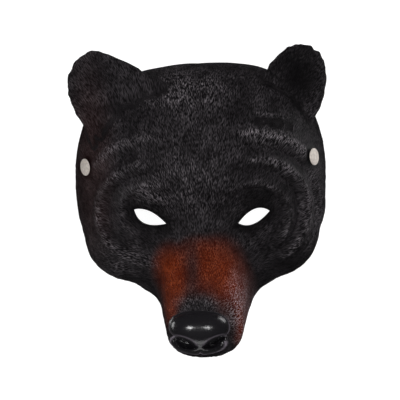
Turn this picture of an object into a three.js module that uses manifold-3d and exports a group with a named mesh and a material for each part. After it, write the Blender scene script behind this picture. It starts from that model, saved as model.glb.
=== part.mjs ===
// Half mask of a bear's face: one moulding of black foam rubber with its muzzle, nose and ears,
// and a capped rivet at each temple. It lies face up on its rim.
// Millimetres. +X is the viewer's right, +Y runs up the face to the crown, +Z points out of the face.

import * as THREE from "three";
import { mergeVertices } from "three/addons/utils/BufferGeometryUtils.js";
import Module from "manifold-3d";

const wasm = await Module();
wasm.setup();

// Driving dimensions
const FACE_CENTRE_Y = 15;
const FACE_DEPTH = 58;
const DOME_POWER = 2.2;
const WALL = 3;
const NOSE_FILL = 5;
const NOSE_FILL_REACH = 15;
const SEAT_GAP = 0.3;

// The middle of the mask's box, which becomes the origin.
const MIDDLE = { x: -1, y: 12.1 };

// The rim seen from the front: the turn from +X towards the crown, and the reach from the face's centre.
const RIM_OUTLINE = [
  { turn: -90, reach: 84 },
  { turn: -62, reach: 84 },
  { turn: -43, reach: 89.3 },
  { turn: -31, reach: 91.2 },
  { turn: -18, reach: 89.2 },
  { turn: 0, reach: 87.3 },
  { turn: 20, reach: 89 },
  { turn: 40, reach: 91.5 },
  { turn: 59, reach: 87 },
  { turn: 73, reach: 82.8 },
  { turn: 90, reach: 81 },
];

// The muzzle, cut by planes parallel to the rim: height above the rim, middle, half width, top and bottom.
const MUZZLE_SECTIONS = [
  { height: 0, middle: 2, halfWidth: 41, top: 10, bottom: -82 },
  { height: 30, middle: 2.4, halfWidth: 37, top: 1, bottom: -83 },
  { height: 52, middle: 2.2, halfWidth: 31.8, top: -9, bottom: -84 },
  { height: 75, middle: 1.9, halfWidth: 28, top: -21, bottom: -86 },
  { height: 100, middle: 1.6, halfWidth: 25.6, top: -38, bottom: -86.5 },
  { height: 112, middle: 1.4, halfWidth: 24.5, top: -45, bottom: -85.5 },
  { height: 130, middle: 1.4, halfWidth: 23, top: -55, bottom: -82 },
];
const MUZZLE_POWER = 2.5;
const MUZZLE_FRONT = { height: 104, round: 15 };
const MUZZLE_BLEND = 17;

// The lip seen from the side, from the cheeks forward to the chin: the mask is open below it.
const LIP_LINE = [
  { height: -20, lip: -56 },
  { height: 26, lip: -58 },
  { height: 60, lip: -67 },
  { height: 90, lip: -77.5 },
  { height: 100, lip: -81.5 },
  { height: 105, lip: -89 },
  { height: 150, lip: -96 },
];
const LIP_CUT = { steps: 26, floor: -140, width: 260, tilt: 2.2 };

// Soft forms that swell out of the face on both sides, and the hollows at the eyes.
const SWELLINGS = [
  { name: "brow", x: 31, y: 23, z: 43, rx: 27, ry: 16, rz: 14, blend: 18 },
  { name: "cheek", x: 50, y: -26, z: 30, rx: 24, ry: 20, rz: 18, blend: 18 },
];
const EYE_HOLLOW = { x: 36, y: -1, z: 65, rx: 19, ry: 13, rz: 12, blend: 16 };

// The nose: a full upper pad that overhangs a smaller lower one, with a nostril on each side between them.
const NOSE_PADS = [
  { name: "upper_pad", x: -3.5, y: -64.7, z: 109.7, rx: 19.6, ry: 11.4, rz: 18, blend: 2.5 },
  { name: "lower_pad", x: -3.5, y: -74, z: 108.5, rx: 18.4, ry: 9.4, rz: 15, blend: 2 },
];
const NOSTRIL = { x: 9.6, y: -75.6, z: 121.5, rx: 6.8, ry: 3.6, rz: 6.5, tilt: 10 };
const NOSTRIL_FACETS = { around: 14, over: 10 };

// Rounded folds that ring each eye: shift of the ring's centre from the eye, its radius, height and
// spread, and the stretch that it covers, turning from the outer corner over the brow.
const EYE_FOLDS = [
  { name: "lid_fold", shiftX: 0, shiftY: 2, radius: 22, height: 1.4, spread: 5, from: -60, to: 120 },
  { name: "socket_fold", shiftX: 2, shiftY: 5, radius: 36, height: 2, spread: 6, from: -100, to: 95 },
  { name: "brow_fold", shiftX: -2, shiftY: 8, radius: 53, height: 1.6, spread: 6, from: 20, to: 100 },
];
const FOLD_FADE = 25;

// Eye openings: the two corners of each almond and how far its edges bulge from the line between them.
const EYES = {
  left: { outer: [-45.5, 3], inner: [-23.5, -7.1], above: 3.4, below: 6.2 },
  right: { outer: [46.6, -0.2], inner: [24.6, -7.7], above: 5.4, below: 4.6 },
};
const EYE_SEGMENTS = 9;

// Ears: the middle of the base on the head, the way the ear points, its half width and its rise past
// the base, how full its inner and outer edges are, the height of its edge above the rim, how far the
// edge drops at the two ends of the base, how far the tip leans forward and sideways, how deep it is
// cupped, and how softly its front runs into the head.
const EARS = [
  {
    name: "left_ear", x: -47.2, y: 64, points: 124, halfWidth: 33.2, rise: 51.7,
    innerPower: 1.15, outerPower: 3.1, edge: 27, drop: 8, lean: 1, tip: 3.7, cup: 7, blend: 20,
  },
  {
    name: "right_ear", x: 57.3, y: 65, points: 60, halfWidth: 23, rise: 47.8,
    innerPower: 2.5, outerPower: 2.05, edge: 28, drop: 8, lean: 2, tip: -3.2, cup: 10, blend: 7,
  },
];
const EAR_ROOT = 16;
const EAR_THICKNESS = 3.4;
const EAR_SINK = 0.8;
const EAR_GRID = { spokes: 28, rings: 7 };

// Rivets that would hold a head band, one at each temple.
const RIVETS = [
  { side: "left", x: -77.8, y: 29.7 },
  { side: "right", x: 76.9, y: 33.7 },
];
const RIVET_CAP = { radius: 5.8, edge: 1, crown: 1.5 };
const RIVET_POST = { radius: 1.8, flangeRadius: 4.2, flange: 1 };
const RIVET_SIDES = 20;
const FLANGE_GAP = 1.2;

// The axis of the muzzle, from inside the head to the middle of the nose. Lines drawn on the surface
// run from there back to the rim, each in a plane through this axis.
const HEART = new THREE.Vector3(-1, -32, 30);
const NOSE_TIP = new THREE.Vector3(-3.5, -65, 127);
const AXIS = NOSE_TIP.clone().sub(HEART).normalize();
const UPWARD = new THREE.Vector3(0, 1, 0).addScaledVector(AXIS, -AXIS.y).normalize();
const ACROSS = new THREE.Vector3().crossVectors(UPWARD, AXIS);

const OUTER_GRID = { spokes: 92, rings: 44 };
const INNER_GRID = { spokes: 46, rings: 15 };
const UPWARD_CROWDING = 0.4;
const NOSE_CROWDING = 1.25;
const FARTHEST = 260;
const STRIDE = 1.5;
const MOST_STRIDES = 400;
const HALVINGS = 32;
const PROBE = 0.2;
const MERGE_DISTANCE = 1e-4;

const COLOURS = { foam: 0x1c1a1b, metal: 0xc9c4bd };

// A smooth curve through the rows of a table, from one named column to another.
function curveThrough(rows, at, value) {
  const slope = (a, b) => (b[value] - a[value]) / (b[at] - a[at]);
  const near = (i) => rows[THREE.MathUtils.clamp(i, 0, rows.length - 1)];
  const tangents = rows.map((row, i) => slope(near(i - 1), near(i + 1)));
  return (position) => {
    const held = THREE.MathUtils.clamp(position, rows[0][at], rows.at(-1)[at]);
    const i = Math.max(rows.findIndex((row, k) => k > 0 && held <= row[at]) - 1, 0);
    const [a, b] = [rows[i], rows[i + 1]];
    const span = b[at] - a[at];
    const t = (held - a[at]) / span;
    const rest = 1 - t;
    return (
      a[value] * rest * rest * (1 + 2 * t) +
      b[value] * t * t * (3 - 2 * t) +
      span * t * rest * (tangents[i] * rest - tangents[i + 1] * t)
    );
  };
}

const rimReach = curveThrough(RIM_OUTLINE, "turn", "reach");
const muzzleHalfWidth = curveThrough(MUZZLE_SECTIONS, "height", "halfWidth");
const muzzleMiddle = curveThrough(MUZZLE_SECTIONS, "height", "middle");
const muzzleTop = curveThrough(MUZZLE_SECTIONS, "height", "top");
const muzzleBottom = curveThrough(MUZZLE_SECTIONS, "height", "bottom");
const lipAt = curveThrough(LIP_LINE, "height", "lip");

// Fields are below zero inside a form and grow outwards.
function softUnion(a, b, blend) {
  const near = Math.max(blend - Math.abs(a - b), 0) / blend;
  return Math.min(a, b) - (near * near * blend) / 4;
}

function softCut(a, b, blend) {
  return -softUnion(-a, b, blend);
}

function ellipsoid(x, y, z, form) {
  const reach = Math.hypot((x - form.x) / form.rx, (y - form.y) / form.ry, (z - form.z) / form.rz);
  return (reach - 1) * Math.min(form.rx, form.ry, form.rz);
}

function dome(x, y, z) {
  const turn = THREE.MathUtils.radToDeg(Math.atan2(y - FACE_CENTRE_Y, Math.abs(x)));
  const out = Math.hypot(x, y - FACE_CENTRE_Y) / rimReach(turn);
  const up = Math.max(z, 0) / FACE_DEPTH;
  return (Math.sqrt(out ** DOME_POWER + up * up) - 1) * FACE_DEPTH;
}

function muzzle(x, y, z) {
  const [top, bottom, halfWidth] = [muzzleTop(z), muzzleBottom(z), muzzleHalfWidth(z)];
  const across = Math.abs((x - muzzleMiddle(z)) / halfWidth);
  const rise = Math.abs((2 * y - top - bottom) / (top - bottom));
  const section = (across ** MUZZLE_POWER + rise ** MUZZLE_POWER) ** (1 / MUZZLE_POWER);
  const front = Math.max(z - MUZZLE_FRONT.height, 0) / MUZZLE_FRONT.round;
  return (Math.hypot(section, front) - 1) * halfWidth;
}

function eyeFolds(x, y) {
  const side = Math.sign(x) || 1;
  const eye = side < 0 ? EYES.left : EYES.right;
  const eyeX = (eye.outer[0] + eye.inner[0]) / 2;
  const eyeY = (eye.outer[1] + eye.inner[1]) / 2;
  let raised = 0;
  for (const fold of EYE_FOLDS) {
    const dx = side * (x - eyeX) - fold.shiftX;
    const dy = y - eyeY - fold.shiftY;
    const off = (Math.hypot(dx, dy) - fold.radius) / fold.spread;
    const turn = THREE.MathUtils.radToDeg(Math.atan2(dy, dx));
    const shown =
      THREE.MathUtils.smoothstep(turn, fold.from - FOLD_FADE, fold.from + FOLD_FADE) *
      (1 - THREE.MathUtils.smoothstep(turn, fold.to - FOLD_FADE, fold.to + FOLD_FADE));
    raised += fold.height * shown * Math.exp(-off * off);
  }
  return raised;
}

// The face without its folds and nose, which is also what the inside follows.
function plainForm(x, y, z) {
  let field = dome(x, y, z);
  for (const form of SWELLINGS) {
    field = softUnion(field, ellipsoid(Math.abs(x), y, z, form), form.blend);
  }
  field = softUnion(field, muzzle(x, y, z), MUZZLE_BLEND);
  return softCut(field, ellipsoid(Math.abs(x), y, z, EYE_HOLLOW), EYE_HOLLOW.blend);
}

function fullForm(x, y, z) {
  let field = plainForm(x, y, z) - eyeFolds(x, y);
  for (const pad of NOSE_PADS) field = softUnion(field, ellipsoid(x, y, z, pad), pad.blend);
  return field;
}

function outwardAt(field, p) {
  return new THREE.Vector3(
    field(p.x + PROBE, p.y, p.z) - field(p.x - PROBE, p.y, p.z),
    field(p.x, p.y + PROBE, p.z) - field(p.x, p.y - PROBE, p.z),
    field(p.x, p.y, p.z + PROBE) - field(p.x, p.y, p.z - PROBE),
  ).normalize();
}

// The change of sign of a function between two values, by halving.
function crossing(test, inside, outside) {
  let [low, high] = [inside, outside];
  for (let i = 0; i < HALVINGS; i++) {
    const middle = (low + high) / 2;
    if (test(middle) < 0) low = middle;
    else high = middle;
  }
  return (low + high) / 2;
}

// One line on a form's surface, walked from the axis back to the rim in the plane at the given turn.
function surfaceLine(field, turn) {
  const side = ACROSS.clone().multiplyScalar(Math.cos(turn)).addScaledVector(UPWARD, Math.sin(turn));
  const at = (p) => HEART.clone().addScaledVector(AXIS, p.x).addScaledVector(side, p.y);
  const value = (along, out) => field(...at(new THREE.Vector2(along, out)));
  const slopeAt = (p) =>
    new THREE.Vector2(
      value(p.x + PROBE, p.y) - value(p.x - PROBE, p.y),
      value(p.x, p.y + PROBE) - value(p.x, p.y - PROBE),
    ).divideScalar(2 * PROBE);
  const settle = (p) => {
    const slope = slopeAt(p);
    p.addScaledVector(slope, -value(p.x, p.y) / slope.lengthSq());
  };
  const place = new THREE.Vector2(crossing((along) => value(along, 0), 0, FARTHEST), 0);
  const line = [at(place)];
  for (let i = 0; i < MOST_STRIDES && line.at(-1).z > 0; i++) {
    const slope = slopeAt(place).normalize();
    place.x -= slope.y * STRIDE;
    place.y += slope.x * STRIDE;
    settle(place);
    settle(place);
    line.push(at(place));
  }
  const [before, after] = line.slice(-2);
  after.lerpVectors(before, after, before.z / (before.z - after.z)).setZ(0);
  return line;
}

// Points along a line at growing steps, so that they crowd together at the nose.
function spacedAlong(line, rings) {
  const path = new THREE.CurvePath();
  line.slice(1).forEach((p, i) => path.add(new THREE.LineCurve3(line[i], p)));
  return Array.from({ length: rings + 1 }, (_, i) => path.getPointAt((i / rings) ** NOSE_CROWDING));
}

// Lines all round the axis. They crowd together up the face, where they are longest.
function gridOf(field, { spokes, rings }) {
  return Array.from({ length: spokes }, (_, i) => {
    const share = (2 * Math.PI * i) / spokes;
    return spacedAlong(surfaceLine(field, share + UPWARD_CROWDING * Math.cos(share)), rings);
  });
}

// A layer inside the face at a given depth, which is deeper behind the nose.
function innerGrid(depth) {
  const sunk = (p) => {
    const off = p.distanceTo(NOSE_TIP) / NOSE_FILL_REACH;
    const wall = depth + NOSE_FILL * Math.exp(-off * off);
    return p.clone().addScaledVector(outwardAt(plainForm, p), -wall);
  };
  return gridOf(plainForm, INNER_GRID).map((line) =>
    line.map((p, i) => (i === line.length - 1 ? sunk(p).setZ(0) : sunk(p))),
  );
}

function solidFrom(positions, triangles) {
  const mesh = new wasm.Mesh({
    numProp: 3,
    vertProperties: new Float32Array(positions.flatMap((p) => [p.x, p.y, p.z])),
    triVerts: new Uint32Array(triangles.flat()),
  });
  return new wasm.Manifold(mesh);
}

function solidOf(geometry) {
  const bare = geometry.clone();
  bare.deleteAttribute("normal");
  bare.deleteAttribute("uv");
  const merged = mergeVertices(bare, MERGE_DISTANCE);
  return new wasm.Manifold(
    new wasm.Mesh({
      numProp: 3,
      vertProperties: new Float32Array(merged.attributes.position.array),
      triVerts: new Uint32Array(merged.index.array),
    }),
  );
}

function geometryOf(solid) {
  const mesh = solid.getMesh();
  const geometry = new THREE.BufferGeometry();
  geometry.setAttribute("position", new THREE.BufferAttribute(mesh.vertProperties, 3));
  geometry.setIndex(new THREE.BufferAttribute(mesh.triVerts, 1));
  const flat = geometry.toNonIndexed();
  flat.computeVertexNormals();
  return flat;
}

// Triangles of a grid whose lines share one pole; each cell is split along its shorter diagonal.
function gridTriangles(positions, pole, { spokes, rings }) {
  const index = (s, r) => pole + 1 + (s % spokes) * rings + (r - 1);
  const apart = (a, b) => positions[a].distanceToSquared(positions[b]);
  const triangles = [];
  for (let s = 0; s < spokes; s++) {
    triangles.push([pole, index(s, 1), index(s + 1, 1)]);
    for (let r = 1; r < rings; r++) {
      const [a, b, c, d] = [index(s, r), index(s, r + 1), index(s + 1, r + 1), index(s + 1, r)];
      if (apart(a, c) < apart(b, d)) triangles.push([a, b, c], [a, c, d]);
      else triangles.push([a, b, d], [b, c, d]);
    }
  }
  return triangles;
}

function turnedOver(triangles) {
  return triangles.map(([a, b, c]) => [a, c, b]);
}

function gridVertices(grid) {
  return [grid[0][0], ...grid.flatMap((line) => line.slice(1))];
}

// The last point of a line in a grid whose pole has the given place in the list.
function edgeIndex(pole, line, { spokes, rings }) {
  return pole + ((line % spokes) + 1) * rings;
}

// The moulded wall: the outside, the inside with half as many lines, and the flat rim between them.
function wallSolid(outer, inner) {
  const outerVertices = gridVertices(outer);
  const pole = outerVertices.length;
  const positions = [...outerVertices, ...gridVertices(inner)];
  const triangles = [
    ...gridTriangles(positions, 0, OUTER_GRID),
    ...turnedOver(gridTriangles(positions, pole, INNER_GRID)),
  ];
  const outerEdge = (line) => edgeIndex(0, line, OUTER_GRID);
  const innerEdge = (line) => edgeIndex(pole, line, INNER_GRID);
  for (let s = 0; s < INNER_GRID.spokes; s++) {
    triangles.push([innerEdge(s), outerEdge(2 * s + 1), outerEdge(2 * s)]);
    triangles.push([innerEdge(s), innerEdge(s + 1), outerEdge(2 * s + 1)]);
    triangles.push([innerEdge(s + 1), outerEdge(2 * s + 2), outerEdge(2 * s + 1)]);
  }
  return solidFrom(positions, triangles);
}

// The space inside a layer, closed by a cone from its edge to a point below the rim.
function spaceInside(inner) {
  const positions = [...gridVertices(inner), new THREE.Vector3(0, 0, -FACE_DEPTH)];
  const triangles = gridTriangles(positions, 0, INNER_GRID);
  for (let s = 0; s < INNER_GRID.spokes; s++) {
    triangles.push([
      edgeIndex(0, s, INNER_GRID),
      positions.length - 1,
      edgeIndex(0, s + 1, INNER_GRID),
    ]);
  }
  return solidFrom(positions, triangles);
}

// Everything below the lip, as a prism along X.
function lipCut() {
  const [first, last] = [LIP_LINE[0].height, LIP_LINE.at(-1).height];
  const lip = Array.from({ length: LIP_CUT.steps + 1 }, (_, i) => {
    const height = THREE.MathUtils.lerp(first, last, i / LIP_CUT.steps);
    return new THREE.Vector2(height, lipAt(height));
  });
  const corners = [new THREE.Vector2(last, LIP_CUT.floor), new THREE.Vector2(first, LIP_CUT.floor)];
  const prism = new THREE.ExtrudeGeometry(new THREE.Shape([...lip, ...corners]), {
    depth: LIP_CUT.width,
    bevelEnabled: false,
  });
  prism.rotateY(-Math.PI / 2);
  prism.translate(LIP_CUT.width / 2, 0, 0);
  prism.rotateZ(THREE.MathUtils.degToRad(LIP_CUT.tilt));
  return solidOf(prism);
}

// How high the face stands over a place in the rim's plane, far below the rim where it doesn't reach it.
function headHeight({ x, y }) {
  if (plainForm(x, y, 0) >= 0) return -FACE_DEPTH;
  return crossing((height) => plainForm(x, y, height), 0, FACE_DEPTH);
}

// A cupped leaf that stands on the head, with its root sunk into the wall.
function earSolid(ear) {
  const pointing = THREE.MathUtils.degToRad(ear.points);
  const up = new THREE.Vector2(Math.cos(pointing), Math.sin(pointing));
  const along = new THREE.Vector2(up.y, -up.x);
  const point = (turn, share, back) => {
    const power = Math.cos(turn) * ear.x < 0 ? ear.innerPower : ear.outerPower;
    const round = (v) => Math.sign(v) * Math.abs(v) ** (2 / power);
    const across = round(Math.cos(turn)) * share;
    const rise = round(Math.sin(turn)) * share;
    const out = rise < 0 ? rise * EAR_ROOT : rise * ear.rise;
    const sideways = across * ear.halfWidth + Math.max(rise, 0) * ear.tip;
    const flat = new THREE.Vector2(ear.x, ear.y).addScaledVector(along, sideways).addScaledVector(up, out);
    const fromMiddle = rise < 0 ? across : share;
    const dropped = ear.drop * across * across * (1 - Math.max(rise, 0));
    const height = ear.edge + ear.lean * rise - dropped - ear.cup * (1 - fromMiddle * fromMiddle);
    if (back) return new THREE.Vector3(flat.x, flat.y, height - EAR_THICKNESS);
    const head = headHeight(flat) - EAR_SINK;
    return new THREE.Vector3(flat.x, flat.y, -softUnion(-height, -head, ear.blend));
  };
  const { spokes, rings } = EAR_GRID;
  const face = (back) =>
    Array.from({ length: spokes }, (_, i) =>
      Array.from({ length: rings + 1 }, (_, r) => point((2 * Math.PI * i) / spokes, r / rings, back)),
    );
  const front = gridVertices(face(false));
  const positions = [...front, ...gridVertices(face(true))];
  const triangles = [
    ...gridTriangles(positions, 0, EAR_GRID),
    ...turnedOver(gridTriangles(positions, front.length, EAR_GRID)),
  ];
  for (let s = 0; s < spokes; s++) {
    const [a, b] = [edgeIndex(0, s, EAR_GRID), edgeIndex(0, s + 1, EAR_GRID)];
    const [c, d] = [edgeIndex(front.length, s, EAR_GRID), edgeIndex(front.length, s + 1, EAR_GRID)];
    triangles.push([a, c, d], [a, d, b]);
  }
  return solidFrom(positions, triangles);
}

// An almond cut straight through the wall, along Z.
function eyeSolid(eye) {
  const [outer, inner] = [new THREE.Vector2(...eye.outer), new THREE.Vector2(...eye.inner)];
  const middle = outer.clone().add(inner).multiplyScalar(0.5);
  const chord = inner.clone().sub(outer).normalize();
  const up = new THREE.Vector2(-chord.y, chord.x).multiplyScalar(Math.sign(chord.x));
  const above = middle.clone().addScaledVector(up, 2 * eye.above);
  const below = middle.clone().addScaledVector(up, -2 * eye.below);
  const almond = new THREE.Shape()
    .moveTo(outer.x, outer.y)
    .quadraticCurveTo(above.x, above.y, inner.x, inner.y)
    .quadraticCurveTo(below.x, below.y, outer.x, outer.y);
  const prism = new THREE.ExtrudeGeometry(almond, {
    depth: FACE_DEPTH,
    bevelEnabled: false,
    curveSegments: EYE_SEGMENTS,
  });
  prism.translate(0, 0, FACE_DEPTH / 2);
  return solidOf(prism);
}

function nostrilSolid(side) {
  const dent = new THREE.SphereGeometry(1, NOSTRIL_FACETS.around, NOSTRIL_FACETS.over);
  dent.scale(NOSTRIL.rx, NOSTRIL.ry, NOSTRIL.rz);
  dent.rotateZ(THREE.MathUtils.degToRad(side * NOSTRIL.tilt));
  dent.translate(NOSE_TIP.x + side * NOSTRIL.x, NOSTRIL.y, NOSTRIL.z);
  return solidOf(dent);
}

// Where a rivet sits on the wall: the point on the outside, the way out of it, and the wall's thickness.
function rivetSeat(rivet) {
  const z = crossing((height) => fullForm(rivet.x, rivet.y, height), 0, FACE_DEPTH);
  const point = new THREE.Vector3(rivet.x, rivet.y, z);
  const out = outwardAt(fullForm, point);
  const below = (depth) => plainForm(...point.clone().addScaledVector(out, -depth));
  return { point, out, wall: WALL + crossing(below, 2 * WALL, 0) };
}

function standingOn({ point, out }) {
  const seat = new THREE.Group();
  seat.position.copy(point);
  seat.quaternion.setFromUnitVectors(new THREE.Vector3(0, 1, 0), out);
  return seat;
}

function boreSolid(rivet) {
  const radius = RIVET_POST.radius + SEAT_GAP;
  const bore = new THREE.CylinderGeometry(radius, radius, 6 * WALL, RIVET_SIDES);
  const seat = standingOn(rivetSeat(rivet));
  seat.updateMatrix();
  return solidOf(bore.applyMatrix4(seat.matrix));
}

function turned(profile) {
  const points = profile.map(([radius, height]) => new THREE.Vector2(radius, height));
  return new THREE.LatheGeometry(points, RIVET_SIDES);
}

// A low dome with a rolled edge.
function capGeometry() {
  const { radius, edge, crown } = RIVET_CAP;
  return turned([
    [0, 0],
    [radius, 0],
    [radius, edge / 2],
    [radius - edge / 2, edge],
    [radius / 2, crown - edge / 8],
    [0, crown],
  ]);
}

function postGeometry(wall) {
  const { radius, flangeRadius, flange } = RIVET_POST;
  const back = -wall - FLANGE_GAP;
  return turned([
    [0, back - flange],
    [flangeRadius, back - flange],
    [flangeRadius, back],
    [radius, back],
    [radius, 0],
    [0, 0],
  ]);
}

// The roots of the ears end halfway through the wall.
function moulding() {
  const pastTheRoots = spaceInside(innerGrid(WALL / 2));
  let solid = wallSolid(gridOf(fullForm, OUTER_GRID), innerGrid(WALL)).subtract(lipCut());
  for (const ear of EARS) solid = solid.add(earSolid(ear).subtract(pastTheRoots));
  for (const eye of Object.values(EYES)) solid = solid.subtract(eyeSolid(eye));
  for (const side of [-1, 1]) solid = solid.subtract(nostrilSolid(side));
  for (const rivet of RIVETS) solid = solid.subtract(boreSolid(rivet));
  return solid;
}

const foam = new THREE.MeshStandardMaterial({ color: COLOURS.foam, roughness: 0.55, metalness: 0 });
const metal = new THREE.MeshStandardMaterial({ color: COLOURS.metal, roughness: 0.3, metalness: 1 });

const mask = new THREE.Group();
mask.position.set(-MIDDLE.x, -MIDDLE.y, 0);

const shell = new THREE.Mesh(geometryOf(moulding()), foam);
shell.name = "mask_shell";
mask.add(shell);

for (const rivet of RIVETS) {
  const place = rivetSeat(rivet);
  const seat = standingOn(place);
  const cap = new THREE.Mesh(capGeometry(), metal);
  cap.name = `rivet_cap_${rivet.side}`;
  cap.position.y = 2 * SEAT_GAP;
  const post = new THREE.Mesh(postGeometry(place.wall), metal);
  post.name = `rivet_post_${rivet.side}`;
  post.position.y = SEAT_GAP;
  seat.add(cap, post);
  mask.add(seat);
}

export default mask;
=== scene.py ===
import math

import bpy
import numpy as np
from mathutils import Matrix, Vector, kdtree, noise


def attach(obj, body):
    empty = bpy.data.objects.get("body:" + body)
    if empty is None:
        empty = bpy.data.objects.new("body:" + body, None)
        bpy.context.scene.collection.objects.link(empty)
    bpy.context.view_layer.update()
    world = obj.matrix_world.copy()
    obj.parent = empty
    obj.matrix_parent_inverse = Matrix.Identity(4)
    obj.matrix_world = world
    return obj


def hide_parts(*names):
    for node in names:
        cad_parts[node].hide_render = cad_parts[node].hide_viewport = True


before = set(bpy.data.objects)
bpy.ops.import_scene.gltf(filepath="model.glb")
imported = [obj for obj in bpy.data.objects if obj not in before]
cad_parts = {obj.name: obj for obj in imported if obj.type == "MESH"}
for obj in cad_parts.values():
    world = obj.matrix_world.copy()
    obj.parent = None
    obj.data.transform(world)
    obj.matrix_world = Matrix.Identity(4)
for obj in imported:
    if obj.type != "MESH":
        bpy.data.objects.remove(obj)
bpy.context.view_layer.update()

# Lengths are in millimetres and angles in degrees until the meshes are made.
# X is the viewer's right, Y runs up the face to the crown, and Z points out of the face.
MIDDLE = np.array([-1, 12.1, 0])
METRE = 1000

# The face is a domed wall, thicker behind the nose. Its relief fades out just above the rim.
FACE_CENTRE_Y = 15
FACE_DEPTH = 58
DOME_POWER = 2.2
WALL = 3
NOSE_FILL = 5
NOSE_FILL_REACH = 15
RIM_FADE = 4

# The rim seen from the front: the turn from +X towards the crown, and the reach from the face's centre.
# The second table is what the right half reaches beyond the left one.
RIM_OUTLINE = {
    "turn": [-90, -62, -43, -31, -18, 0, 20, 40, 59, 73, 90],
    "reach": [84, 84, 89.3, 91.2, 89.2, 87.3, 89, 91.5, 87, 82.8, 81],
}
RIM_RIGHT_MORE = {
    "turn": [-90, -62, -45, -31, -15, 0, 22, 40, 60, 73, 82, 87, 90],
    "reach": [0, -1, -2, -1.8, -0.6, 0, 0.9, 1, 2.3, 1.7, 0.5, 0.1, 0],
}

# The muzzle, cut by planes parallel to the rim.
MUZZLE_SECTIONS = {
    "height": [0, 30, 52, 75, 100, 112, 130],
    "middle": [2, 2.4, 2, 1.3, 0.8, 0.7, 0.7],
    "half_width": [41, 37, 32.6, 29.1, 26, 24.8, 23.3],
    "top": [10, 1, -9, -21, -38, -45, -55],
    "bottom": [-82, -83, -84, -86, -86.5, -85.5, -82],
}
MUZZLE_POWER = 2.5
MUZZLE_FRONT = 104
MUZZLE_ROUND = 15
MUZZLE_BLEND = 17

# The lip seen from the side, from the cheeks forward to the chin: the mask is open below it.
LIP_LINE = {
    "height": [-20, 20, 36, 60, 90, 100, 105, 150],
    "lip": [-56, -56, -57, -66, -77.5, -81.5, -88.6, -96],
}
LIP_STEPS = 40
LIP_FLOOR = -140
LIP_HALF_WIDTH = 130
LIP_TILT = 3

# Soft forms that swell out of the face on both sides, and the hollows at the eyes.
SWELLINGS = [
    {"x": 31, "y": 23, "z": 43, "rx": 27, "ry": 16, "rz": 14, "blend": 18},
    {"x": 50, "y": -26, "z": 30, "rx": 24, "ry": 20, "rz": 18, "blend": 18},
]
EYE_HOLLOW = {"x": 36, "y": -1, "z": 65, "rx": 19, "ry": 13, "rz": 12, "blend": 16}

# The nose: a broad bonnet with a gull-wing lower edge over a block with two nostrils and a cleft.
NOSE_X = -2.6
BONNET = {"y": -64, "z": 109, "rx": 19.4, "above": 11.3, "below": 13.6, "rz": 18.5, "blend": 0.6}
BONNET_WING = {"lift": 5.6, "reach": 8}
BONNET_POWER = {"outline": 2.35, "front": 2.5}
NOSE_BLOCK = {"x": -2.6, "y": -73.4, "z": 108.5, "rx": 18.8, "ry": 8.8, "rz": 15, "blend": 1}
NOSTRIL = {"x": 9.8, "y": -71.8, "z": 121.5, "rx": 8.2, "ry": 4.8, "rz": 9, "tilt": 16, "blend": 1}
NOSE_CLEFT = {"x": -2.6, "y": -83, "z": 118, "rx": 1.4, "ry": 4, "rz": 5, "blend": 2}
NOSE_EDGE = {"height": 0.7, "spread": 0.9, "inward": 0.5}
NOSE_GLOSS = {"bonnet": 0.9, "block": 0.75}
# A pale line round the nostrils and along the bonnet's lower edge is a painted highlight on those
# edges.
NOSE_HIGHLIGHT_SHAPE = {"spread": 0.55, "under": 0.4, "low": -70, "high": -54}
NOSE_SEAM = 0.4
NOSTRIL_LIP = {"inner": 0.2, "outer": 1}

# Eye openings: the corners of each almond, how far its edges bulge above and below the line between
# them, and how far each bulge is shifted towards the outer corner.
EYES = {
    "left": {
        "outer": (-45.5, 3), "inner": (-23.5, -7.1),
        "above": 3.4, "above_shift": 2.4, "below": 6.2, "below_shift": 1.6,
    },
    "right": {
        "outer": (46.6, -0.2), "inner": (24.6, -7.7),
        "above": 5.4, "above_shift": 2.6, "below": 4.6, "below_shift": -2,
    },
}
EYE_SEGMENTS = 16
EYE_CUT = {"low": 29, "high": 87}
LID = {"offset": 2.2, "spread": 1.4, "height": 0.9}
LID_CREASE = {"offset": 5.4, "spread": 1.4, "depth": 0.9}
LID_SHADE = {"reach": 9, "amount": 0.85}

# Rounded folds that ring each eye: the shift of the ring's centre outwards and up from the eye, its
# radius, height and spread, the start and end of the stretch that it covers, turning from the outer
# corner over the brow, and how far its crest is worn grey and painted lighter as a highlight.
EYE_FOLDS = {
    "left": [
        (0, 3, 20, 1.7, 2.9, -70, 125, 0.1),
        (1.5, 2, 34, 2.8, 3.7, -105, 100, 0.4),
        (-2, 4, 49, 2.3, 4, 30, 105, 0.35),
    ],
    "right": [
        (0, 1, 24, 2.2, 2.7, -45, 115, 0.3),
        (1, 4, 36, 3.3, 3.5, -65, 105, 0.65),
        (-2, 6, 51, 3, 3.8, 25, 105, 0.9),
        (2, 0, 46, 2, 2.8, -30, 25, 0.6),
        (0, 2, 67, 2.2, 2.6, 70, 92, 0.9),
    ],
}
FOLD_FADE = 25
FOLD_CREASE = {"share": 0.8, "offset": -1.5, "spread": 0.6}
# How much of a fold's crest is painted lighter: worn grey, and a painted highlight where light catches
# it.
CREST_WEAR_AND_HIGHLIGHT = {"low": 0.4, "high": 0.95}

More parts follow.
